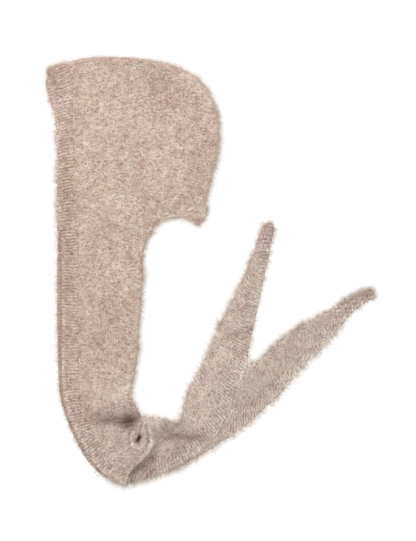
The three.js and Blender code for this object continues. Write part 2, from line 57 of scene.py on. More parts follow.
NECK_SHARE = 0.62  # of the hood's depth, which runs on as the arm
BAND_SHARE_OF_HOOD = 0.1
NEAR_REACH = (0.015, 0.957)  # stretch of the hood's outline that each half follows
FAR_REACH = (0.0, 1.0)
SEAM_ANGLE = 22  # round the fold, up and down
QUARTER_TURN = math.pi / 2

# Fineness of the meshes
COLUMN_STEPS = 10
HOOD_STEPS = 9  # fine rows to each of the hood's twelve sections
HOOD_ROWS = 12 * HOOD_STEPS
CELL = 2.5
HIDDEN_CELL = 6.0  # where the near arm covers the far arm
HIDDEN_SECTIONS = 15
ARM_COLUMNS = 6
NAPE_COLUMNS = 4
BAND_COLUMNS = COLUMN_STEPS
FOLD_ANGLES = (90, 78, 65, 53, 42, 32, 22, 11, 0, -11, -22, -32, -42, -53, -65, -78, -90)

# The folded edge in plan, from the face opening over the crown and down to the nape
HOOD_OUTLINE = (
    (-255, 310), (-226, 322), (-185, 330), (-133, 331.5), (-92, 327), (-50.5, 316), (-24.5, 302.5),
    (-5.5, 282.3), (7.6, 256), (14.5, 225), (12.5, 189), (4, 152), (-4, 112), (-9.5, 71),
)
# The edges of the face opening and of the nape: x, y and height
NEAR_FRONT = (
    (-238, 298, 11.2), (-234, 280, 10.4), (-235, 260, 10), (-238, 236, 10), (-237, 201, 10),
    (-235, 174, 10), (-236, 132, 9.8), (-237, 98, 9.2), (-233, 74, 8.3), (-230, 56, 7.5),
)
FAR_FRONT = (
    (-254.5, 297), (-252.5, 279), (-247, 260), (-240, 237), (-238, 201),
    (-236, 174), (-237, 132), (-238, 98), (-236, 74), (-236, 56),
)
NEAR_NAPE = ((-88, 71, 8.5), (-71, 85, 9.5), (-50, 92, 10.5), (-30, 94, 11.5))
FAR_NAPE = ((-88.5, 67), (-71, 80), (-52, 84), (-30, 79))

# Sections of the near arm: front edge, back edge, and the heights of the front edge, middle and back edge
NEAR_NECK = (
    ((-230, 56), (-88, 71), 7.5, 8, 8.5),
    ((-229, 34), (-101.5, 39), 6.8, 7.2, 7),
    ((-229, -5), (-104, -8), 6.2, 6.8, 6.2),
    ((-229, -43), (-106.6, -43), 6.2, 7, 6.2),
    ((-229, -82), (-109, -82), 6.2, 6.8, 6.2),
    ((-229, -121), (-111.5, -121), 6.2, 7, 6.2),
    ((-229, -152), (-115.6, -151), 6.2, 6.8, 6.2),
    ((-228, -180), (-121.5, -180), 6.2, 6.8, 6.2),
)
# The gather, seven points a section from the front edge to the back edge
GATHER = (
    ((-225, -202, 6.2), (-198, -199, 7.5), (-168, -199, 10.5), (-151, -199, 12.5),
     (-139, -199, 13), (-128, -199, 13), (-119, -199, 12)),
    ((-219, -222, 6.2), (-193, -215, 7.2), (-168, -214, 9.5), (-151, -213, 11),
     (-137, -213, 11.5), (-125, -213, 11), (-112, -213, 10)),
    ((-212, -238, 6.2), (-188, -229, 7), (-163, -227, 7.6), (-146, -226, 8),
     (-132, -226, 8), (-119, -224, 7.6), (-106, -223, 7)),
    ((-206, -252, 6.2), (-182, -241, 6.8), (-160, -238, 6.4), (-143, -237, 5.4),
     (-129, -236, 4.9), (-116, -233, 5), (-102, -229, 5.6)),
    ((-198, -267, 6.2), (-176, -253, 8.2), (-156, -249, 11), (-139, -248, 14.5),
     (-127, -246, 15.5), (-114, -238, 17), (-98, -227, 15)),
    ((-189, -282, 6.6), (-168, -267, 10), (-150, -261, 14.5), (-132, -260, 19),
     (-119, -252, 18.5), (-108, -241, 21), (-93, -226, 18)),
    ((-178, -298, 8), (-159, -281, 12), (-142, -273, 16.5), (-123, -270, 20.5),
     (-109, -258, 17), (-100, -243, 21.5), (-89, -225, 18.5)),
    ((-166, -311, 12), (-150, -292, 14.5), (-133, -284, 17.5), (-113, -274, 20.5),
     (-103, -260, 18), (-95, -244, 21.5), (-86, -225, 18.5)),
    ((-152, -322, 15), (-139, -302, 16.5), (-122, -291, 18), (-105, -276, 20),
     (-97, -262, 18.5), (-90, -245, 21), (-84, -225, 18)),
    ((-136, -328, 15.6), (-127, -308, 16.6), (-112, -294, 18), (-95, -277, 19),
     (-91, -262, 19), (-86, -245, 20.5), (-81, -225, 18)),
    ((-132, -330, 13.2), (-123, -309, 14), (-109, -295, 15.4), (-92, -276, 18),
     (-88, -261, 18.4), (-84, -244, 19.6), (-79.5, -225.5, 17.6)),
    ((-136, -328, 10.8), (-127, -308, 11.4), (-112, -293, 12.8), (-91.3, -274, 16.8),
     (-86.6, -260, 17.8), (-82, -243, 18.8), (-78, -225.7, 17.3)),
    ((-147, -322, 10.8), (-136, -304, 11), (-116, -291, 12), (-90.6, -273, 15.6),
     (-85, -259.4, 17), (-80, -242.4, 18), (-76.4, -226, 17)),
    ((-151, -320, 8.4), (-139, -302, 8.5), (-118, -290, 9.4), (-89.8, -271.8, 14.6),
     (-83.5, -258.6, 16), (-78.4, -241.8, 17), (-75, -226, 16.6)),
    ((-147, -322, 6), (-136, -304, 6.1), (-116, -291, 6.8), (-88, -270.5, 13.6),
     (-81.7, -257.6, 15), (-76.4, -241, 16), (-73, -226.3, 16.2)),
    ((-128, -327, 5.9), (-121, -305, 6.2), (-106, -289, 6.8), (-84, -266, 12.6),
     (-78, -253, 13.4), (-73, -239, 11.5), (-69, -227, 14)),
    ((-108, -323, 5.9), (-104, -298, 7), (-92, -281, 8.6), (-76, -260, 11.5),
     (-71, -250, 10), (-67, -240, 7.5), (-64, -229.5, 12)),
    ((-88, -317, 5.9), (-88, -292, 8), (-81, -274, 9.4), (-68, -256, 9.5),
     (-64, -247.5, 6.4), (-60, -240.5, 6.4), (-58, -233, 10.5)),
    ((-66, -309, 5.9), (-71, -284, 8.6), (-67, -267, 9.2), (-60, -252, 6.6),
     (-57, -246, 5), (-54, -241, 5.6), (-53, -235.5, 8.4)),
    ((-46, -299, 5.9), (-54, -276, 8.4), (-54, -262, 8), (-51, -249, 5.4),
     (-49, -244.5, 4.9), (-48, -239.5, 5.4), (-48.5, -234.5, 7)),
    ((-27, -288, 5.9), (-38, -266, 7.4), (-43, -254, 6.8), (-43, -243, 5.4),
     (-42.6, -237, 5.2), (-43.4, -232, 5.6), (-44, -227.5, 6.6)),
    ((-10, -275, 5.9), (-25, -256, 6.8), (-31, -245, 6.2), (-36, -232.5, 6.2),
     (-37, -225.5, 6), (-39.5, -219, 6.2), (-42, -213, 6.4)),
)
NEAR_END = (
    ((5, -261), (-38, -198), 5.9, 6.4, 6),
    ((18, -243), (-33, -182), 5.9, 6.4, 5.9),
    ((28, -223), (-26, -169), 5.9, 6.2, 5.6),
    ((43, -178), (-9.2, -136.8), 5.8, 5.6, 4.6),
    ((57, -151), (-0.5, -115.7), 5.5, 4.8, 3.6),
    ((61, -119), (9.5, -93.7), 4.3, 3.6, 2.5),
    ((67, -92), (20, -71.9), 2.6, 2.5, 1.8),
    ((81, -29), (47.5, -18), 1.6, 2.2, 1.6),
    ((93, 29), (69, 33), 1.6, 2.2, 1.6),
    ((96, 48), (75, 53), 1.6, 2.4, 1.6),
    ((100, 60), (81, 65), 1.8, 2.6, 1.8),
    ((100.5, 69), (86, 72), 1.8, 2.6, 1.8),
    ((96.5, 75), (91, 75.5), 1.8, 2.2, 1.8),
)
# Sections of the far arm, which lies flat: front edge and back edge
FAR_ARM = (
    ((-236, 56), (-88.5, 67)), ((-236, 34), (-101.5, 37)), ((-237, -5), (-105.5, -8)),
    ((-237, -43), (-108.5, -43)), ((-237, -82), (-111.5, -82)), ((-236, -121), (-114, -121)),
    ((-235, -164), (-119.5, -161)), ((-233, -188), (-124, -186)), ((-229, -208), (-121.5, -203)),
    ((-222, -227), (-115, -217)), ((-215, -247), (-109, -228)), ((-205, -267), (-101, -236)),
    ((-194, -287), (-92, -241)), ((-182, -303), (-81, -243)), ((-167, -316), (-71, -244)),
    ((-151, -325), (-60, -243)), ((-132, -330), (-49, -240)), ((-111, -324.5), (-39, -237)),
    ((-89, -318), (-29, -232)), ((-67, -310), (-19, -226)), ((-46, -301), (-8, -219)),
    ((-22, -290), (2, -209)), ((2, -275), (15, -198)), ((24, -261), (28, -185)),
    ((46, -246), (42, -162)), ((66, -230), (59, -144.5)), ((84, -213), (72.5, -145.5)),
    ((105, -196), (88, -131.5)), ((123, -175), (105, -115)), ((139, -154.2), (123.5, -99.8)),
    ((156.5, -135.5), (142.2, -86.6)), ((174.5, -119.7), (159, -76.6)), ((203, -86), (195.8, -53.2)),
    ((218, -69), (211.8, -44.2)), ((232, -56), (227.5, -35)), ((243.5, -47.5), (241, -29)),
    ((252.5, -43), (249.3, -27.8)), ((256.5, -37), (255, -31.3)),
)

# Fine forms of the gather: a line in plan, its height, which is a depth below 0, and its half width
ROLLS = (
    (((-107.5, -236), (-116, -246), (-120, -257), (-118, -268), (-110, -275), (-102, -271), (-99, -260),
      (-102, -248)), 2.2, 2.4),
    (((-96, -234), (-89, -245), (-87, -257), (-88, -270), (-94, -280)), 2.6, 2.4),
    (((-107, -234), (-97, -228), (-82, -225), (-66, -229), (-53, -236)), 2.0, 2.6),
    (((-128, -252), (-128, -266), (-121, -279), (-108, -285)), 1.2, 3.0),
)
CREASES = (
    (((-98, -238), (-94.5, -250), (-94, -262), (-98, -273)), -2.8, 1.7),
    (((-112, -238), (-122, -250), (-124.5, -262), (-121, -272)), -1.6, 1.9),
    (((-102, -233), (-105.5, -243), (-106, -250)), -2.6, 1.8),
    (((-86, -231), (-78, -236), (-70, -240)), -1.6, 2.4),
)
EYE = ((-107.6, -256), (-110.4, -261.8))
EYE_HOLLOW = (EYE, -11, 2.4)
# The folded lip of the gather and the gap beside it
LIP = (
    (-87.6, -260.4), (-93.8, -280.6), (-107.7, -291.4), (-118.6, -299.2), (-124.8, -308.5), (-129.4, -328.6),
)
GAP = ((-90.7, -283.7), (-103, -294.5), (-113.9, -302.3), (-121.7, -311.6), (-126.3, -325.5))
# Edges that show against the layer below them; light is painted along them, and shade along the line just
# outside the front edge
NAPE_EDGE = ((-92, 50), (-86, 66), (-70, 84), (-50, 92), (-30, 94), (-6, 84))
NEAR_EDGE = ((-30, -287), (-9, -275), (6, -261), (19, -243), (29, -223), (43, -178), (57, -151), (60, -135))
FRONT_EDGE = (
    (-226.5, 50), (-226.3, -165), (-222.5, -202), (-215.5, -223), (-203, -251), (-187, -280), (-168, -304),
)
FRONT_SHADE = (
    (-231, 60), (-230.8, -170), (-227.5, -202), (-221, -223.5), (-208.5, -253), (-191, -285), (-169, -313),
)
# Sections of the near arm: the ends of the gather's upper layer, and the first past its folds
UPPER_LAYER = (len(NEAR_NECK) + 1, len(NEAR_NECK) + 10)
PAST_FOLDS = len(NEAR_NECK) + 16


# Curves, distances in plan and unevenness
def unit(vectors):
    return vectors / np.maximum(np.linalg.norm(vectors, axis=-1, keepdims=True), 1e-9)


def lengths_to(points):
    """Length along a line of points up to each of them."""
    return np.concatenate([[0], np.cumsum(np.linalg.norm(np.diff(points, axis=0), axis=1))])


def refine(points, counts):
    """Smooth centripetal curves through points along the first axis, with counts steps in each stretch."""
    shortest = 1e-4
    ends = np.concatenate([2 * points[:1] - points[1:2], points, 2 * points[-1:] - points[-2:-1]])
    out = []
    for stretch, count in enumerate(counts):
        p0, p1, p2, p3 = ends[stretch:stretch + 4]
        d01, d12, d23 = (
            np.sqrt(np.maximum(np.linalg.norm(b - a, axis=-1, keepdims=True), shortest))
            for a, b in ((p0, p1), (p1, p2), (p2, p3))
        )
        leave = ((p1 - p0) / d01 - (p2 - p0) / (d01 + d12) + (p2 - p1) / d12) * d12
        reach = ((p2 - p1) / d12 - (p3 - p1) / (d12 + d23) + (p3 - p2) / d23) * d12
        for step in range(count):
            t = step / count
            out.append(
                (2 * t**3 - 3 * t**2 + 1) * p1 + (t**3 - 2 * t**2 + t) * leave
                + (3 * t**2 - 2 * t**3) * p2 + (t**3 - t**2) * reach
            )
    out.append(points[-1])
    return np.array(out)


class Curve:
    """A smooth curve through points that is asked for by its share of length."""

    steps = 40
    tangent_reach = 0.002

    def __init__(self, points):
        points = np.array([[*p, FAR_HEIGHT][:3] for p in points], float)
        self.fine = refine(points, [self.steps] * (len(points) - 1))
        length = lengths_to(self.fine)
        self.share = length / length[-1]

    def at(self, share):
        return np.stack([np.interp(share, self.share, self.fine[:, axis]) for axis in range(3)], axis=-1)

    def tangent(self, share):
        ahead = self.at(np.clip(share + self.tangent_reach, 0, 1))
        return unit(ahead - self.at(np.clip(share - self.tangent_reach, 0, 1)))


def to_line(places, line):
    """Distance in plan from each place to a polyline."""
    line = np.array(line, float)
    nearest = np.full(places.shape[:-1], np.inf)
    for start, end in zip(line, line[1:]):
        way = end - start
        share = np.clip(((places[..., :2] - start) @ way) / (way @ way), 0, 1)[..., None]
        nearest = np.minimum(nearest, np.linalg.norm(places[..., :2] - start - share * way, axis=-1))
    return nearest


def bell(distance, width):
    return np.exp(-((distance / width) ** 2))


def at_spots(places, spots):
    """The amount of each spot in plan, which fades past its reach."""
    return [
        amount * np.exp(-(((places[..., :2] - middle) / reach) ** 2).sum(axis=-1))
        for middle, reach, amount in spots
    ]


def ripple(places, length, seed, waves=7):
    """Smooth unevenness between about -1 and 1, the same on every run."""
    rng = np.random.default_rng(seed)
    total = 0
    for _ in range(waves):
        turn = rng.uniform(0, 2 * np.pi)
        pitch = length * rng.uniform(0.7, 1.5)
        way = np.array((math.cos(turn), math.sin(turn))) * 2 * np.pi / pitch
        total = total + np.sin(places[..., 0] * way[0] + places[..., 1] * way[1] + rng.uniform(0, 2 * np.pi))
    return total / math.sqrt(waves)


# The two halves as grids of points
outline = Curve(HOOD_OUTLINE)


def fold_point(along, angle):
    """Points of the folded edge, from the face opening to the nape, at an angle round the fold."""
    along = np.asarray(along, float)
    far = (1 - math.sin(angle)) / 2
    first, last = (n + (f - n) * far for n, f in zip(NEAR_REACH, FAR_REACH))
    reach = first + (last - first) * along
    tangent = outline.tangent(reach)
    inward = unit(np.stack([tangent[..., 1], -tangent[..., 0], 0 * along], axis=-1))
    points = outline.at(reach) + inward * (WALL / 2 + FOLD_REACH * (1 - math.cos(angle)))
    points[..., 2] = HOOD_HEIGHT + (FAR_HEIGHT - HOOD_HEIGHT) * far
    return points


def arm_section(edge, back, z_edge=FAR_HEIGHT, z_middle=FAR_HEIGHT, z_back=FAR_HEIGHT):
    front, rear = np.array([*edge, z_edge], float), np.array([*back, z_back], float)
    band = min(BAND_WIDTH / np.linalg.norm(rear - front), BAND_SHARE)
    share = np.concatenate([[0], np.linspace(band, 1, ARM_COLUMNS)])[:, None]
    points = front + (rear - front) * share
    points[:, 2] += (z_middle - (z_edge + z_back) / 2) * np.sin(np.pi * share[:, 0])
    return points


def across(rows):
    """The seven columns of each row as a smooth fine line."""
    return refine(np.swapaxes(rows, 0, 1), [COLUMN_STEPS] * ARM_COLUMNS).swapaxes(0, 1)


def hood_shares():
    """Share of the hood's depth at each fine column."""
    behind_band = np.linspace(BAND_SHARE_OF_HOOD, NECK_SHARE, ARM_COLUMNS)
    shares = np.concatenate([[0], behind_band, np.linspace(NECK_SHARE, 1, NAPE_COLUMNS + 1)[1:]])
    columns = np.arange((ARM_COLUMNS + NAPE_COLUMNS) * COLUMN_STEPS + 1) / COLUMN_STEPS
    return np.interp(columns, np.arange(len(shares)), shares)


def hood_side(angle, front, neck, nape, dome):
    """One side of the hood, blended between its four edges."""
    share, down = hood_shares(), np.linspace(0, 1, HOOD_ROWS + 1)
    left = Curve([fold_point(0, angle), *front]).at(down)[:, None]
    right = fold_point(CROWN_SHARE + (1 - CROWN_SHARE) * down, angle)[:, None]
    top = fold_point(CROWN_SHARE * share, angle)
    steps = NAPE_COLUMNS * COLUMN_STEPS
    bottom = np.concatenate([neck, Curve([*nape, fold_point(1, angle)]).at(np.arange(1, steps + 1) / steps)])
    s, d = share[None, :, None], down[:, None, None]
    corners = (1 - s) * ((1 - d) * top[0] + d * bottom[0]) + s * ((1 - d) * top[-1] + d * bottom[-1])
    points = (1 - d) * top + d * bottom + (1 - s) * left + s * right - corners
    points[..., 2] += dome * np.sin(np.pi * share)[None] * np.sin(np.pi * down)[:, None]
    return points


def arm_rows(sections, above, hidden=0):
    """Fine rows of an arm, and the fine row of each section. The row above it, on the hood, gives the
    direction that it starts in. The hidden first sections are less fine."""
    rows = np.array([above, *sections])
    lengths = np.linalg.norm(np.diff(rows, axis=0), axis=2).max(axis=1)[1:]
    cells = np.where(np.arange(len(lengths)) < hidden, HIDDEN_CELL, CELL)
    fewest = 4
    counts = [0] + [max(fewest, math.ceil(length / cell)) for length, cell in zip(lengths, cells)]
    return across(refine(rows, counts)), np.cumsum(counts)


def from_front(grid):
    """Distance of each fine column from the front edge, about true on the band."""
    return np.arange(grid.shape[1])[None] * BAND_WIDTH / COLUMN_STEPS


def shape_gather(arm, starts):
    """Adds the rolls, creases and eye to the upper layer, which ends at the fold."""
    first, last = (starts[section] for section in UPPER_LAYER)
    rows_in, rows_out = 6, 4
    row = np.arange(len(arm))
    layer = np.interp(row, [first, first + rows_in, last, last + rows_out], [0, 1, 1, 0])[:, None]
    forms = (*ROLLS, *CREASES, EYE_HOLLOW)
    arm[..., 2] += layer * sum(height * bell(to_line(arm, line), width) for line, height, width in forms)


def sink_front(arm, starts):
    """Past the gather the near arm's front edge sinks towards the far arm."""
    resting, deepest, width, rows_in = 4.1, 1.8, 7, 12
    past_folds = np.clip((np.arange(len(arm)) - starts[PAST_FOLDS]) / rows_in, 0, 1)[:, None]
    arm[..., 2] -= np.clip(arm[..., 2] - resting, 0, deepest) * bell(from_front(arm), width) * past_folds


def relax_front(hood):
    """The loose edge of the face opening sinks towards the far half."""
    depth, width, fade = 3.0, 11, 60
    row = np.arange(HOOD_ROWS + 1)[:, None]
    above_neck = np.clip((HOOD_ROWS - row) * CELL / fade, 0, 1)
    hood[..., 2] -= depth * bell(from_front(hood), width) * above_neck


near_sections = [
    *(arm_section(*row) for row in NEAR_NECK),
    *(np.array(row, float) for row in GATHER),
    *(arm_section(*row) for row in NEAR_END),
]
far_sections = [arm_section(*row) for row in FAR_ARM]
near_hood = hood_side(QUARTER_TURN, NEAR_FRONT, across(near_sections[:1])[0], NEAR_NAPE, HOOD_DOME)
far_hood = hood_side(-QUARTER_TURN, FAR_FRONT, across(far_sections[:1])[0], FAR_NAPE, 0)
ARM_POINTS = slice(0, ARM_COLUMNS * COLUMN_STEPS + 1, COLUMN_STEPS)
ROW_ABOVE = HOOD_ROWS - HOOD_STEPS
near_arm, near_starts = arm_rows(near_sections, near_hood[ROW_ABOVE, ARM_POINTS])
far_arm, _ = arm_rows(far_sections, far_hood[ROW_ABOVE, ARM_POINTS], HIDDEN_SECTIONS)
shape_gather(near_arm, near_starts)
sink_front(near_arm, near_starts)
relax_front(near_hood)

# The middle surface of the whole garment: shared points with their place in the knit (across, along and
# half), and cells that each belong to one piece
points, knit_places, cells, owners = [], [], [], []
NEAR, FAR, SEAM, BAND = range(4)
KNIT_START = (-237, 56)  # where the front edge passes from the hood to the arm
HALVES_APART = 300


def hood_knit(grid, half):
    """Across and along the knit, which on the hood runs straight down."""
    x, y = grid[..., 0], grid[..., 1]
    return np.stack([x - KNIT_START[0], KNIT_START[1] - y, 0 * x + half], axis=-1)


def arm_knit(grid, half):
    """Across and along the knit of an arm, measured on the cloth from where the hood ends."""
    start = hood_knit(grid[:1], half)
    wide = np.cumsum(np.linalg.norm(np.diff(grid, axis=1, prepend=grid[:, :1]), axis=2), axis=1)
    long = lengths_to(grid[:, grid.shape[1] // 2])[:, None] + 0 * wide
    return start + np.stack([wide - wide[:1], long, 0 * long], axis=-1)


def add_points(grid, places):
    first = sum(len(part) for part in points)
    points.append(grid.reshape(-1, 3))
    knit_places.append(places.reshape(-1, 3))
    return first + np.arange(grid[..., 0].size).reshape(grid.shape[:-1])


def add_cells(corners, piece, band):
    """Four grids of corner numbers. The first band columns belong to the front band."""
    owner = np.full(corners[0].shape, piece)
    owner[:, :band] = BAND
    cells.append(np.stack(corners, axis=-1).reshape(-1, 4))
    owners.append(owner.ravel())


def add_half(hood, arm, piece, up):
    """The grids of one half, with its outer face up or down."""
    half = 0 if up else HALVES_APART
    hood_ids = add_points(hood, hood_knit(hood, half))
    arm_ids = add_points(arm[1:], arm_knit(arm, half)[1:])
    joined = np.concatenate([hood_ids[:, :arm.shape[1]], arm_ids])
    for ids in (joined, hood_ids[:, arm.shape[1] - 1:]):
        corners = [ids[:-1, :-1], ids[1:, :-1], ids[1:, 1:], ids[:-1, 1:]]
        add_cells(corners if up else corners[::-1], piece, BAND_COLUMNS if ids is joined else 0)
    return hood_ids, joined


near_hood_ids, near_ids = add_half(near_hood, near_arm, NEAR, True)
far_hood_ids, far_ids = add_half(far_hood, far_arm, FAR, False)
down_back = CROWN_SHARE + (1 - CROWN_SHARE) * np.arange(1, HOOD_ROWS + 1) / HOOD_ROWS
stations = np.concatenate([CROWN_SHARE * hood_shares(), down_back])
rings = [np.concatenate([near_hood_ids[0], near_hood_ids[1:, -1]])]
for angle in FOLD_ANGLES[1:-1]:
    ring = fold_point(stations, math.radians(angle))
    rings.append(add_points(ring, hood_knit(ring, 0 if angle > 0 else HALVES_APART)))
rings.append(np.concatenate([far_hood_ids[0], far_hood_ids[1:, -1]]))
for angle, upper, lower in zip(FOLD_ANGLES, rings, rings[1:]):
    piece = NEAR if angle > SEAM_ANGLE else SEAM if angle > -SEAM_ANGLE else FAR
    add_cells([part[None] for part in (upper[:-1], upper[1:], lower[1:], lower[:-1])], piece, BAND_COLUMNS)
points, knit_places, cells, owners = (
    np.concatenate(part) for part in (points, knit_places, cells, owners)
)

# Unevenness of knit that lies loosely: axis, amount, length and seed
LOOSE = (
    (0, 0.45, 19, 5), (0, 0.3, 8, 6), (1, 0.45, 19, 7), (1, 0.3, 8, 8), (2, 0.45, 46, 3), (2, 0.25, 17, 4),
)


def press(places):
    """The layers lie closer together round the nape."""
    share, width = 0.72, 22
    pressed = share * bell(to_line(places, NAPE_EDGE), width)
    places[..., 2] = FAR_HEIGHT + (places[..., 2] - FAR_HEIGHT) * (1 - pressed)


def soften(places):
    """The knit is a little uneven along its edges and, where it is lifted, in height."""
    full_lift = 4
    lifted = np.clip((places[:, 2] - FAR_HEIGHT) / full_lift, 0, 1)
    loose = (1, 1, lifted)
    soft = places.copy()
    for axis, amount, length, seed in LOOSE:
        soft[:, axis] += loose[axis] * amount * ripple(places, length, seed)
    return soft


def vertex_normals(vertices, quads, by_area):
    """Normals of the vertices, from the quads round each, with or without the weight of their areas."""
    a, b, c, d = (vertices[quads[:, corner]] for corner in range(4))
    facing = np.cross(c - a, d - b)
    if not by_area:
        facing = unit(facing)
    total = np.zeros_like(vertices)
    for corner in range(4):
        np.add.at(total, quads[:, corner], facing)
    return unit(total)


press(points)
points = soften(points) + SHIFT
normals = vertex_normals(points, cells, by_area=False)


def edges_of(quads):
    """Each side of each quad, a number for its pair of ends, and how many quads share it."""
    key_step = np.int64(10**7)
    pairs = np.stack([quads, np.roll(quads, -1, axis=1)], axis=-1).reshape(-1, 2)
    ordered = np.sort(pairs, axis=1)
    keys = ordered[:, 0] * key_step + ordered[:, 1]
    _, where, count = np.unique(keys, return_inverse=True, return_counts=True)
    return pairs, keys, count[where.ravel()]


_, all_keys, all_counts = edges_of(cells)
free_edges = set(all_keys[all_counts == 1].tolist())


def packed(values, kind=np.float32):
    return np.ascontiguousarray(values, kind).ravel()


def mesh_object(name, vertices, faces, material, **layers):
    """A smooth mesh with layers of vectors for its vertices."""
    mesh = bpy.data.meshes.new(name)
    count, corners = faces.shape
    mesh.vertices.add(len(vertices))
    mesh.vertices.foreach_set("co", packed(vertices * MM))
    mesh.loops.add(faces.size)
    mesh.loops.foreach_set("vertex_index", packed(faces, np.int32))
    mesh.polygons.add(count)
    mesh.polygons.foreach_set("loop_start", np.arange(0, faces.size, corners, dtype=np.int32))
    mesh.polygons.foreach_set("loop_total", np.full(count, corners, np.int32))
    mesh.polygons.foreach_set("use_smooth", np.full(count, True))
    mesh.update(calc_edges=True)
    for layer, values in layers.items():
        mesh.attributes.new(layer, "FLOAT_VECTOR", "POINT").data.foreach_set("vector", packed(values))
    mesh.materials.append(material)
    made = bpy.data.objects.new(name, mesh)
    bpy.context.scene.collection.objects.link(made)
    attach(made, "root")
    return made


# Spots in plan, as middle, reach along x and y, and amount. These are darker, or lighter below 0: painted
# shade in the gather's valleys, eye, folds and gap, painted light where the shade beside edges and rolls is
# lifted, and darker patches on the hood, the band and the tips. They run from the hood down to the gather,
# then to the near tip and the far tip.
SHADE_AND_TONE_SPOTS = (
    ((-77, 292), (26, 20), 0.18), ((-12, 170), (22, 60), 0.07), ((-240, 300), (16, 22), 0.14),
    ((-150, 318), (60, 12), 0.06), ((-11, 79), (15, 12), 0.28), ((-219, 293), (20, 16), 0.14),
    ((-226, 175), (8, 75), 0.16), ((-220, 60), (13, 190), 0.16), ((-234.5, -80), (4.5, 170), 0.06),
    ((-160, -60), (60, 90), 0.06), ((-223, -125), (7, 60), 0.15),
    ((-126, -232), (16, 11), 0.7), ((-122, -229), (10, 7), 0.2), ((-126, -241), (9, 7), 0.38),
    ((-158, -230), (24, 11), 0.42), ((-182, -222), (18, 12), 0.22), ((-139, -260), (12, 12), 0.28),
    ((-95, -294), (8, 6), 0.18), ((-131, -307), (14, 12), 0.16), ((-170, -307), (12, 14), 0.12),
    ((-42, -255), (26, 7), 0.48), ((-14, -260), (16, 7), 0.25), ((-84, -228), (13, 6), -0.36),
    ((-72, -243), (10, 8), -0.1), ((-100, -304), (16, 14), 0.3), ((-121, -258), (4, 12), -0.16),
    ((-89, -258), (7, 16), -0.16), ((-104, -279), (14, 6), -0.1), ((-84, -229), (14, 8), -0.1),
    ((-105, -293), (11, 10), -0.12), ((-125, -228), (10, 8), 0.18), ((-146, -230), (12, 9), 0.12),
    ((-54, -276), (14, 10), 0.14), ((-69, -268), (12, 10), -0.08), ((-90, -258), (6, 7), 0.12),
    ((-14, -222), (16, 20), -0.08), ((8, -198), (12, 12), 0.1), ((-10, -165), (35, 50), -0.1),
    ((45, -166), (9, 30), -0.15), ((35, -136), (14, 12), -0.12), ((82, 27), (7, 9), 0.26),
    ((87, 64), (13, 20), 0.16), ((200, -75), (40, 30), -0.07), ((222, -42), (34, 14), 0.13),
    ((244, -36), (22, 16), 0.08), ((249, -35), (13, 10), 0.12),
)
# Lines along which light and shade are painted into the knit, lighter, or darker below 0: half width and
# amount. They paint shadow into the eye, the creases, beside the front edge, behind the band and along the
# crown, and light on the rolls, the front edge and edges whose sides lie in shade.
FAR_ARM_FRONT = [front for front, _ in FAR_ARM]
FAR_ARM_BACK = [back for _, back in FAR_ARM]
BEHIND_BAND = [(x + BAND_WIDTH + 1, y) for x, y, _ in NEAR_FRONT]
LIGHT_AND_SHADE_LINES = (
    (EYE, 3.8, -0.97),
    (NAPE_EDGE, 5, 0.35), (NEAR_EDGE, 4, 0.25), (FRONT_EDGE, 1.8, 0.17), (FRONT_SHADE, 2.6, -0.2),
    (FAR_ARM_FRONT[17:23], 4.5, 0.12), (FAR_ARM_FRONT[23:], 4.5, 0.24), (FAR_ARM_BACK[24:], 4, 0.08),
    (HOOD_OUTLINE[7:], 6, 0.17), (HOOD_OUTLINE[:6], 7, -0.14), (BEHIND_BAND, 2, -0.06),
    (ROLLS[0][0], 1.8, 0.08), (ROLLS[1][0], 1.8, 0.07),
    (CREASES[0][0], 1.5, -0.14), (CREASES[1][0], 1.7, -0.12),
)
LIP_HIGHLIGHT = (3, 0.3, 12)  # painted highlight on the lip's upper side: half width, amount and least height
# Spots where the heather is more marked
SPECKLED = (
    ((91, 45), (22, 50), 0.22), ((225, -50), (50, 32), 0.32), ((-60, 275), (85, 55), 0.10),
    ((-126, -232), (24, 14), 0.22), ((-110, -275), (60, 45), 0.08),
)
SPECKLES = (5.5, 33, 12)  # length, seed and waves of their unevenness
SHADE_TINT = np.array((0.92, 1.09, 1.13))  # darker tones, painted shade in the hollows most, are redder; lighter ones less red
GREY_TINT = np.array((-0.038, 0.013, 0.030))  # the knit is greyer from the gather on
GREY_LEAN = 0.9
GREY_FADE = 45
SIDE_PAINTED_LIGHT = 0.2  # painted light: what faces sideways is lightened against the shade on it


def tone_at(places):
    """Red, green and blue tone of each place: painted shade and painted light, speckles, and the greyer knit
    from the gather on.
    """
    tone = np.ones(len(places))
    plan = places - SHIFT
    for amount in at_spots(plan, SHADE_AND_TONE_SPOTS):
        tone *= 1 - amount
    for line, width, amount in LIGHT_AND_SHADE_LINES:
        tone *= 1 + amount * bell(to_line(plan, line), width)
    width, amount, height = LIP_HIGHLIGHT
    tone *= 1 + amount * bell(to_line(plan, LIP), width) * (plan[:, 2] > height)
    tone *= 1 + sum(at_spots(plan, SPECKLED)) * ripple(plan, *SPECKLES)
    grey = np.clip((plan[:, 0] - GREY_LEAN * plan[:, 1]) / GREY_FADE, 0, 1)
    grey = grey * grey * (3 - 2 * grey)
    return tone[:, None] ** SHADE_TINT * (1 + grey[:, None] * GREY_TINT)


class Skin:
    """The closed surface of one piece, kept for its nap: vertices and their places in the knit, in
    millimetres, and quads. It stays above the floor. Its tone carries painted shade and painted light."""

    def __init__(self, vertices, knit, quads, tone=1.0):
        self.vertices, self.knit, self.quads = vertices, knit, quads
        self.vertices[:, 2] = np.maximum(self.vertices[:, 2], 0)
        sideways = 1 - vertex_normals(vertices, quads, by_area=True)[:, 2] ** 2
        self.tone = tone_at(vertices) * (tone * (1 + SIDE_PAINTED_LIGHT * sideways))[:, None]


def closed(face, rim, count):
    """Quads of a face, of its back, whose vertices come count later, and of the sides along the rim."""
    start, end = rim.T
    sides = np.stack([end, start, start + count, end + count], axis=1)
    return np.concatenate([face, face[:, ::-1] + count, sides])


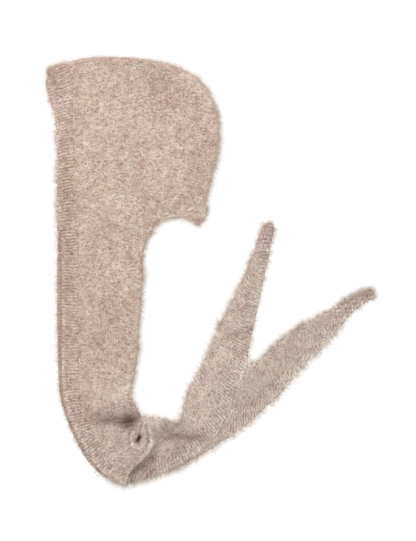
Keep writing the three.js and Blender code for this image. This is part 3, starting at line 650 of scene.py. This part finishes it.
def wall(piece):
    """A closed wall on the cells of one piece, thinned and rounded towards its edges."""
    beside_edge, at_seam, at_edge = 0.93, 0.95, 0.5
    own = cells[owners == piece]
    pairs, keys, counts = edges_of(own)
    rim = pairs[counts == 1]
    free = np.array([key in free_edges for key in keys[counts == 1].tolist()])
    free_points = np.unique(rim[free])
    thickness = np.full(len(points), WALL / 2)
    thickness[np.unique(own[np.isin(own, free_points).any(axis=1)])] = WALL / 2 * beside_edge
    thickness[np.unique(rim[~free])] = WALL / 2 * at_seam
    thickness[free_points] = WALL / 2 * at_edge
    used, local = np.unique(own, return_inverse=True)
    local = local.reshape(own.shape)
    offset = normals[used] * thickness[used, None]
    vertices = np.concatenate([points[used] + offset, points[used] - offset])
    count = len(used)
    number = np.full(len(points), -1)
    number[used] = np.arange(count)
    return Skin(vertices, np.tile(knit_places[used], (2, 1)), closed(local, number[rim], count))


def resampled(grid, along, length, columns):
    """A grid of vectors at new lengths along its rows and at new columns."""
    whole = np.floor(columns).astype(int).clip(0, grid.shape[1] - 2)
    part = (columns - whole)[None, :, None]
    wide = grid[:, whole] * (1 - part) + grid[:, whole + 1] * part
    flat = wide.reshape(len(wide), -1)
    out = np.stack([np.interp(along, length, column) for column in flat.T], axis=1)
    return out.reshape(len(along), len(columns), 3)


def strip(ids, shares, step, half, outer, inner, profile, shade_contrast):
    """A closed strip along rows of ids, resampled along its length and at shares of its width. The profile
    is its thickness across, at six shares. The outer and inner reliefs also paint shade into its hollows and
    light onto its raised parts, by the shade contrast."""
    profile_shares = (0, 0.035, 0.12, 0.88, 0.965, 1)
    length = lengths_to(points[ids][:, ids.shape[1] // 2])
    along = np.linspace(0, length[-1], math.ceil(length[-1] / step) + 1)
    columns = np.array(shares) * (ids.shape[1] - 1)
    line, facing, knit = (
        resampled(grid[ids], along, length, columns) for grid in (points, normals, knit_places)
    )
    facing = unit(facing)
    thickness = np.interp(shares, profile_shares, profile)
    grid_along = along[:, None] + 0 * columns[None]
    relief_up, relief_low = outer(grid_along, columns, line), inner(grid_along, columns, line)
    up, low = (half + relief_up) * thickness, (half + relief_low) * thickness
    top, base = line + facing * up[..., None], line - facing * low[..., None]
    rows, wide = top.shape[:2]
    ids = np.arange(rows * wide).reshape(rows, wide)
    face = np.stack([ids[:-1, :-1], ids[:-1, 1:], ids[1:, 1:], ids[1:, :-1]], axis=-1).reshape(-1, 4)
    border = np.concatenate([ids[:, 0], ids[-1, 1:], ids[-2::-1, -1], ids[0, -2::-1]])
    rim = np.stack([border[1:], border[:-1]], axis=1)
    tone = 1 + shade_contrast * np.concatenate([relief_up.ravel(), relief_low.ravel()])
    vertices = np.concatenate([top.reshape(-1, 3), base.reshape(-1, 3)])
    return Skin(vertices, np.tile(knit.reshape(-1, 3), (2, 1)), closed(face, rim, rows * wide), tone)


# The knit's procedural materials
class Tree:
    """The node tree of one material."""

    def __init__(self, name):
        self.material = bpy.data.materials.new(name)
        self.material.use_nodes = True
        self.nodes, self.links = self.material.node_tree.nodes, self.material.node_tree.links
        self.shader = self.nodes["Principled BSDF"]

    def fill(self, node, inputs):
        for key, value in inputs.items():
            if isinstance(value, bpy.types.NodeSocket):
                self.links.new(value, node.inputs[key])
            else:
                node.inputs[key].default_value = value

    def add(self, kind, inputs=None, **settings):
        made = self.nodes.new("ShaderNode" + kind)
        for name, value in settings.items():
            setattr(made, name, value)
        self.fill(made, inputs or {})
        return made

    def finish(self, inputs):
        self.fill(self.shader, inputs)
        return self.material

    def noise(self, vector, scale, detail=2.0, roughness=0.5, distortion=0.0):
        inputs = {"Vector": vector, "Scale": scale, "Detail": detail}
        inputs |= {"Roughness": roughness, "Distortion": distortion}
        return self.add("TexNoise", inputs).outputs

    def math(self, operation, first, second=0.5, clamp=False):
        return self.add("Math", {0: first, 1: second}, operation=operation, use_clamp=clamp).outputs[0]

    def vector(self, operation, first, second):
        key = "Scale" if operation == "SCALE" else 1
        return self.add("VectorMath", {0: first, key: second}, operation=operation).outputs[0]

    def ramp(self, share, stops):
        made = self.add("ValToRGB", {0: share})
        elements = made.color_ramp.elements
        while len(elements) < len(stops):
            elements.new(0.5)
        for element, (place, color) in zip(elements, stops):
            element.position = place
            element.color = (*color, 1)
        return made.outputs[0]


# Colours of the strands: place on the ramp, and colour
HEATHER = (
    (0.406, (0.198, 0.118, 0.100)), (0.468, (0.316, 0.218, 0.184)), (0.533, (0.450, 0.360, 0.301)),
    (0.613, (0.618, 0.545, 0.456)),
)
NAP_HEATHER = ((0.36, (0.292, 0.206, 0.172)), (0.5, (0.408, 0.314, 0.262)), (0.64, (0.560, 0.478, 0.402)))
CLOTH_FINISH = {
    "Roughness": 0.95, "Specular IOR Level": 0.15,
    "Sheen Weight": 0.25, "Sheen Roughness": 0.6, "Sheen Tint": (1.0, 0.93, 0.88, 1),
}
COURSE = 0.0017  # height of a stitch
WALE = 0.0023  # width of a stitch


def centred(tree, color):
    return tree.vector("SUBTRACT", color, (0.5, 0.5, 0.5))


def tinted(tree, color, place, shade=1.0, spread=(0.62, 0.0, 0.42)):
    """Strands of several dyes: red and blue vary by themselves. The tone is that of the vertex, with its
    painted shade and painted light.
    """
    dye = centred(tree, tree.noise(place, 190, 3.0, 0.6)["Color"])
    dye = tree.vector("ADD", tree.vector("MULTIPLY", dye, spread), (1, 1, 1))
    color = tree.vector("MULTIPLY", color, dye)
    tone = tree.add("Attribute", attribute_name="tone").outputs["Vector"]
    return tree.vector("SCALE", tree.vector("MULTIPLY", color, tone), shade)


def stitches(tree, weave):
    """Height of faint columns of stitches, whose courses lean on both sides of each column."""
    lean, course_share = 2.6, 0.35
    place = tree.add("SeparateXYZ", {0: weave}).outputs
    wale = tree.math("ABSOLUTE", tree.math("SINE", tree.math("MULTIPLY", place[0], math.pi / WALE)))
    course = tree.math("MULTIPLY", place[1], 2 * math.pi / COURSE)
    course = tree.math("ADD", course, tree.math("MULTIPLY", wale, lean))
    return tree.math("ADD", wale, tree.math("MULTIPLY", tree.math("SINE", course), course_share))


def knit_material(name, shade=1.0, bump=0.7, stitch_share=1.0):
    """Brushed heathered knit: tangled pale and pinkish strands, drawn out along the courses, over faint
    columns of stitches."""
    tree = Tree(name)
    place = tree.add("TexCoord").outputs["Object"]
    weave = tree.add("Attribute", attribute_name="weave").outputs["Vector"]
    bent = tree.vector("SCALE", centred(tree, tree.noise(place, 150)["Color"]), 0.004)
    warped = tree.vector("ADD", place, bent)
    drawn = tree.vector("MULTIPLY", tree.vector("ADD", weave, bent), (1, 3.0, 1))
    curls = tree.noise(warped, 330, 3.0, 0.6, 0.8)["Fac"]
    streaks = tree.noise(drawn, 150, 3.0, 0.6, 0.6)["Fac"]
    heather = tree.noise(warped, 620, 2.0, 0.6)["Fac"]
    patches = tree.noise(place, 75)["Fac"]
    broad = tree.noise(place, 17, 1.0)["Fac"]
    between = tree.math("ABSOLUTE", tree.math("SUBTRACT", curls, 0.5))
    strand = tree.math("SUBTRACT", 1.0, tree.math("MULTIPLY", between, 16), clamp=True)
    total = tree.math("MULTIPLY", strand, 0.08)
    for part, weight in ((curls, 0.22), (streaks, 0.31), (heather, 0.25), (patches, 0.12), (broad, 0.06)):
        total = tree.math("ADD", total, tree.math("MULTIPLY", part, weight))
    color = tinted(tree, tree.ramp(total, HEATHER), warped, shade)
    loose = tree.vector("ADD", weave, tree.vector("SCALE", bent, 0.35))
    height = tree.math("SUBTRACT", tree.math("MULTIPLY", heather, 0.6), tree.math("MULTIPLY", between, 1.5))
    height = tree.math("ADD", height, tree.math("MULTIPLY", stitches(tree, loose), 0.34 * stitch_share))
    bumped = tree.add("Bump", {"Strength": bump, "Distance": 0.0012, "Height": height}).outputs[0]
    return tree.finish(CLOTH_FINISH | {"Base Color": color, "Normal": bumped})


def nap_material(name):
    tree = Tree(name)
    place = tree.add("TexCoord").outputs["Object"]
    share = tree.noise(place, 420, 2.0, 0.6)["Fac"]
    color = tinted(tree, tree.ramp(share, NAP_HEATHER), place, spread=(0.3, 0.0, 0.2))
    return tree.finish(CLOTH_FINISH | {"Base Color": color})


# Spots where the band's ribs are stretched and so show more
STRETCHED = (((-90, -270), (110, 60), 1), ((25, -185), (60, 95), 0.75), ((-228, 110), (40, 160), 0.6))
# The spot where the nap hides the ribs of what lies above a height
BRUSHED_OVER = ((-143, -314), (26, 24), 0.9)
BRUSHED_ABOVE = 11
LINK_PITCH = 3.4  # of the seam


def rib_relief(phase):
    """Brushed ribs: uneven, often half hidden, and crisper where they are stretched."""
    def relief(along, columns, places):
        wander = 0.5 * ripple(places, 32, 21) + 0.4 * ripple(places, 12, 22)
        shown = 0.62 + 0.26 * ripple(places, 18, 23) + 0.22 * ripple(places, 7, 24)
        plan = places - SHIFT
        stretched = np.max(at_spots(plan, STRETCHED), axis=0)
        shown = shown * (1 - at_spots(plan, [BRUSHED_OVER])[0] * (plan[..., 2] > BRUSHED_ABOVE))
        depth = np.clip(shown + 0.25 * stretched, 0.1, 1.1) * (1.25 + 0.75 * stretched)
        return depth * (np.abs(np.cos(np.pi * ((along + wander) / RIB_PITCH + phase))) ** 0.8 - 0.62)
    return relief


def link_relief(along, columns, places):
    lean = 0.3 * columns
    return 0.25 + 0.3 * np.abs(np.sin(np.pi * (along + lean) / LINK_PITCH))


def no_relief(along, columns, places):
    return 0 * along


def band_strip():
    """From the near tip up the near arm, round the fold and down the far arm."""
    ids = np.concatenate([
        near_ids[::-1, :BAND_COLUMNS + 1],
        np.array([ring[:BAND_COLUMNS + 1] for ring in rings[1:-1]]),
        far_ids[:, :BAND_COLUMNS + 1],
    ])
    shares = [0, 0.035, 0.08, 0.16, 0.26, 0.37, 0.48, 0.6, 0.72, 0.83, 0.92, 0.97, 1]
    mean_half = WALL / 2 - 0.25
    return strip(ids, shares, RIB_PITCH / 6, mean_half, rib_relief(0), rib_relief(0.5),
                 profile=(0.45, 0.85, 1, 1, 1, 0.95), shade_contrast=0.36)


def seam_strip():
    seam_rings = [ring for angle, ring in zip(FOLD_ANGLES, rings) if abs(angle) <= SEAM_ANGLE]
    ids = np.array(seam_rings)[:, BAND_COLUMNS:].T
    return strip(ids, np.linspace(0, 1, 9), LINK_PITCH / 4, WALL / 2, link_relief, no_relief,
                 profile=(0.8, 0.9, 1, 1, 0.9, 0.8), shade_contrast=0.2)


def knit_object(name, skin, material):
    return mesh_object(name, skin.vertices, skin.quads, material, tone=skin.tone, weave=skin.knit * MM)


near_skin, far_skin, band_skin, seam_skin = wall(NEAR), wall(FAR), band_strip(), seam_strip()
brushed = knit_material("brushed_knit", shade=1.005)
ribbed = knit_material("rib_knit", shade=0.88, bump=0.6, stitch_share=0.4)
# the seam's knit is lighter: painted light against the shade on its steep sides
linked = knit_material("seam_knit", shade=1.13, bump=0.8, stitch_share=0.4)
near_knit = knit_object("near_knit", near_skin, brushed)
far_knit = knit_object("far_knit", far_skin, brushed)
seam_knit = knit_object("linked_seam", seam_skin, linked)
band_knit = knit_object("ribbed_band", band_skin, ribbed)


# Where the nap grows
class PlanGrid:
    """Heights of the cloth in plan, on squares."""

    pitch = 3.0
    margin = 40

    def __init__(self, chosen):
        self.low = points.min(axis=0)[:2] - self.margin
        size = ((points.max(axis=0)[:2] + self.margin - self.low) / self.pitch).astype(int)
        self.height = np.zeros(size)
        np.maximum.at(self.height, self.spot(chosen), chosen[:, 2])

    def spot(self, places):
        return tuple(((places[:, :2] - self.low) / self.pitch).astype(int).T)

    def spread(self, choose, shifts):
        made = self.height.copy()
        for axis in (0, 1):
            for shift in shifts:
                made = choose(made, np.roll(self.height, shift, axis))
        return made


upper_plan = PlanGrid(points[np.unique(cells[(owners == NEAR) | (owners == BAND)])])
upper_inside = upper_plan.spread(np.minimum, (-2, -1, 1, 2))
whole_plan = PlanGrid(points)
whole_filled = whole_plan.spread(np.maximum, (-1, 1)) > 0
WELL_OVER = 2
LOOK_OUT = 9

# Spots where the fringe is fuller, or thinner below 0
FULLER = (
    ((-60, -305), (90, 45), 1), ((60, -240), (60, 50), 1), ((160, -120), (110, 60), 1),
    ((-130, 335), (120, 35), -0.6), ((165, -62), (75, 22), -0.95), ((-180, -305), (45, 45), -0.5),
)
FRINGE_TINT = np.array((1.0, 1.015, 0.97))
FRINGE_PAINTED_LIGHT = (1.3, 1.3, 1.05, 1.05, 0.85, 0.85, 0.75)  # painted light at the fibres' roots, against the shade the fibres cast on each other, and darker towards the tips: from root to tip, at the seven points of a fibre
FRINGE_LIGHTEST = 1.08
NAP_STEPS = 3
NAP_WIDTH = 0.17
NAP_HEIGHT = 4.5  # over their roots, which the fibres stay below
ROOT_DEPTH = 0.3
CLEARANCE = 0.15  # of the fibres over the floor
LONGEST = 17
DOUBLED = 0.12  # share of the fibres that are twice as long
OUTLINE_REACH = 1.75
INSIDE_REACH = 0.8
EDGE_LIFT = (0.4, 2.6)
EDGE_LEVEL = (1, 1, 0.35)  # fibres at an edge rise less
TOP_LIFT = (0.12, 0.6)
SIDE_RISE = 0.65  # a side's normals rise less than this
TOP_RISE = 0.3
BOTTOM_RISE = -0.4
ON_FLOOR = 1
TUFTS = (8, 31)  # length and seed
LIP_BARE = 8
EYE_BARE = 6
GAP_TOP = 11
DENSITY_INSIDE = 0.8  # on sides that face another layer, as a share of the outline's
DENSITY_BELOW = 0.05
DENSITY_HIDDEN = 0.03  # as a share of that in sight


def covered(places):
    """True where the near half lies well over a place, so that nothing of it shows from above."""
    return upper_inside[upper_plan.spot(places)] > places[:, 2] + WELL_OVER


def at_outline(places, facing):
    """True where the cloth's side looks out of the garment in plan, not towards another layer of it."""
    outward = unit(facing[:, :2]) * LOOK_OUT
    return ~whole_filled[whole_plan.spot(places[:, :2] + outward)]


class Ground:
    """The triangles of a skin, and how densely fibres grow on each. They are denser round the outline,
    in tufts, and leave the eye, the gap and what is hidden free."""

    def __init__(self, skin, rim, top):
        self.triangles = np.concatenate([skin.quads[:, [0, 1, 2]], skin.quads[:, [0, 2, 3]]])
        self.corners = [skin.vertices[self.triangles[:, corner]] for corner in range(3)]
        a, b, c = self.corners
        normal = np.cross(b - a, c - a)
        area = np.linalg.norm(normal, axis=1) / 2
        self.normal = unit(normal)
        middle = (a + b + c) / 3
        plan = middle - SHIFT
        rise, height = self.normal[:, 2], middle[:, 2]
        from_eye = to_line(plan, EYE)
        sideways = np.abs(rise) < SIDE_RISE
        self.outer = at_outline(middle, self.normal) & sideways
        self.inner = sideways & ~self.outer & (to_line(plan, LIP[:-1]) > LIP_BARE)
        self.fuller = np.minimum(sum(at_spots(plan, FULLER)), 1)
        self.tufts = np.clip(1 + 0.55 * ripple(middle, *TUFTS), 0.1, 2.2)
        density = np.where(rise > TOP_RISE, top, DENSITY_BELOW)
        density = np.where(self.inner, rim * DENSITY_INSIDE, density)
        density = np.where(self.outer, rim * (1 + self.fuller) * self.tufts, density)
        density[covered(middle)] *= DENSITY_HIDDEN
        density[(rise < BOTTOM_RISE) & (height < ON_FLOOR)] = 0
        in_gap = bell(to_line(plan, GAP), 4) * (height < GAP_TOP)
        density *= 1 - 0.98 * bell(from_eye, 8) - 0.5 * in_gap
        density[from_eye < EYE_BARE] = 0
        self.weight = area * np.maximum(density, 0)


def grow(rng, root, up, outer, inner, fuller, tufts, length):
    """The curling spines of fibres, and the way of each step. Those at an edge stand out from it."""
    count = len(root)
    stands = (outer | inner)[:, None]
    side = unit(np.cross(up, rng.normal(size=(count, 3))))
    other = np.cross(up, side)
    level = np.where(stands, EDGE_LEVEL, 1)
    reach = np.where(outer[:, None], OUTLINE_REACH, INSIDE_REACH) * (1.2 + rng.exponential(2.5, (count, 1)))
    reach = reach * (1 + 0.35 * fuller[:, None]) * (0.75 + 0.25 * tufts[:, None])
    reach = np.where(stands, reach, length * rng.gamma(4, 0.25, (count, 1)))
    reach = np.minimum(reach * np.where(rng.random((count, 1)) < DOUBLED, 2, 1), LONGEST)
    curl = rng.normal(0, 2.2, (count, 1))
    lift = np.where(stands, rng.uniform(*EDGE_LIFT, (count, 1)), rng.uniform(*TOP_LIFT, (count, 1)))
    spine, way = [root - up * ROOT_DEPTH], []
    for step in range(NAP_STEPS):
        turn = curl * step / NAP_STEPS
        fall = 1 - np.where(stands, 0.9, 1.5) * step / NAP_STEPS
        way.append(unit((side * np.cos(turn) + other * np.sin(turn) + up * lift * fall) * level))
        spine.append(spine[-1] + way[-1] * reach / NAP_STEPS)
    return spine, way


def nap(name, skin, count, seed, length=7.0, rim=26.0, top=0.9):
    """Fine curling fibres on a skin, as one joined mesh of tapering ribbons."""
    rng = np.random.default_rng(seed)
    ground = Ground(skin, rim, top)
    chosen = rng.choice(len(ground.triangles), count, p=ground.weight / ground.weight.sum())
    a, b, c = (corner[chosen] for corner in ground.corners)
    u, v = rng.random((2, count, 1))
    flip = u + v > 1
    u, v = np.where(flip, 1 - u, u), np.where(flip, 1 - v, v)
    root = a + u * (b - a) + v * (c - a)
    up, outer, inner = (part[chosen] for part in (ground.normal, ground.outer, ground.inner))
    stands = (outer | inner)[:, None]
    spine, way = grow(rng, root, up, outer, inner, ground.fuller[chosen], ground.tufts[chosen], length)
    facing = unit(np.where(stands, (0.0, 0.0, 1.0), up) + 0.35 * rng.normal(size=(count, 3)))
    thick = np.where(stands, 0.75, 1) * NAP_WIDTH
    vertices = []
    for place, direction, share in zip(spine, way, (1, 0.9, 0.6)):
        half = unit(np.cross(direction, facing)) * thick * share / 2
        vertices += [place - half, place + half]
    vertices = np.stack([*vertices, spine[-1]], axis=1)
    above = (vertices[..., 2] - root[:, 2:]) / NAP_HEIGHT
    vertices[..., 2] = np.maximum(root[:, 2:] + NAP_HEIGHT * np.tanh(above), CLEARANCE)
    ribbon = np.array([[0, 1, 3], [0, 3, 2], [2, 3, 5], [2, 5, 4], [4, 5, 6]])
    faces = (ribbon[None] + 7 * np.arange(count)[:, None, None]).reshape(-1, 3)
    at_edge = outer[:, None]
    # the fibres take the tone of the knit below them, with its painted shade and painted light
    tone = skin.tone[ground.triangles[chosen, 0]]
    tone = np.where(at_edge, np.minimum(tone, FRINGE_LIGHTEST), tone * rng.uniform(0.8, 1.35, (count, 1)))
    # the fringe's roots get painted light against the shade of the fibres round them
    fade = np.where(at_edge, FRINGE_PAINTED_LIGHT, 1)[..., None] * np.where(at_edge[..., None], FRINGE_TINT, 1)
    made = mesh_object(name, vertices.reshape(-1, 3), faces, nap_finish, tone=tone[:, None] * fade)
    return made


nap_finish = nap_material("mohair_nap")
near_nap = nap("near_nap", near_skin, 37000, 11)
far_nap = nap("far_nap", far_skin, 31000, 12)
band_nap = nap("band_nap", band_skin, 37000, 13, length=5, rim=42.0, top=0.35)
seam_nap = nap("seam_nap", seam_skin, 11000, 14, length=6)

# Hide the parts of the model that the knit objects stand in for
for piece, node, slot_name in (
    (near_knit, "near_panel", "brushed_knit"),
    (far_knit, "far_panel", "brushed_knit"),
    (seam_knit, "centre_seam", "seam_knit"),
    (band_knit, "front_rib_band", "rib_knit"),
):
    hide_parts(node)

# Floor, light and camera, in metres
FLOOR_SIZE = 12
KEY_PLACE = (-1.5, 1.5, 1.9)
KEY_SIZE = 0.9
KEY_POWER = 62
SKY_STRENGTH = 1.1
SENSOR = 36
CAMERA_HEIGHT = 4.0
CLOTH_HEIGHT = 0.006
VIEW_MIDDLE = (-0.0033, 0.00106)  # what the middle of the photograph shows
VIEW_LENGTH = 0.83855  # of the photograph's long side, at the height of the cloth
FLOOR_FINISH = {
    "Base Color": (0.14, 0.14, 0.14, 1), "Roughness": 0.9, "Specular IOR Level": 0.1,
    "Emission Color": (1, 1, 1, 1), "Emission Strength": 0.88,
}


def pale_floor():
    bpy.ops.mesh.primitive_plane_add(size=FLOOR_SIZE, location=(0, 0, 0))
    floor = bpy.context.object
    floor.name = "floor"
    floor.data.materials.append(Tree("pale_floor").finish(FLOOR_FINISH))


def key_light():
    data = bpy.data.lights.new("key", "AREA")
    data.shape = "DISK"
    data.size = KEY_SIZE
    data.energy = KEY_POWER
    light = bpy.data.objects.new("key", data)
    light.location = KEY_PLACE
    light.rotation_euler = (-Vector(KEY_PLACE)).to_track_quat("-Z", "Y").to_euler()
    bpy.context.scene.collection.objects.link(light)


def soft_sky():
    world = bpy.data.worlds.new("studio")
    world.use_nodes = True
    world.node_tree.nodes["Background"].inputs["Color"].default_value = (1, 1, 1, 1)
    world.node_tree.nodes["Background"].inputs["Strength"].default_value = SKY_STRENGTH
    bpy.context.scene.world = world
    bpy.context.scene.view_settings.view_transform = "Standard"


def photo_camera():
    data = bpy.data.cameras.new("camera")
    data.sensor_width = SENSOR
    data.lens = SENSOR * CAMERA_HEIGHT / VIEW_LENGTH
    camera = bpy.data.objects.new("camera", data)
    camera.location = (*VIEW_MIDDLE, CAMERA_HEIGHT + CLOTH_HEIGHT)
    bpy.context.scene.collection.objects.link(camera)
    bpy.context.scene.camera = camera


pale_floor()
key_light()
soft_sky()
photo_camera()
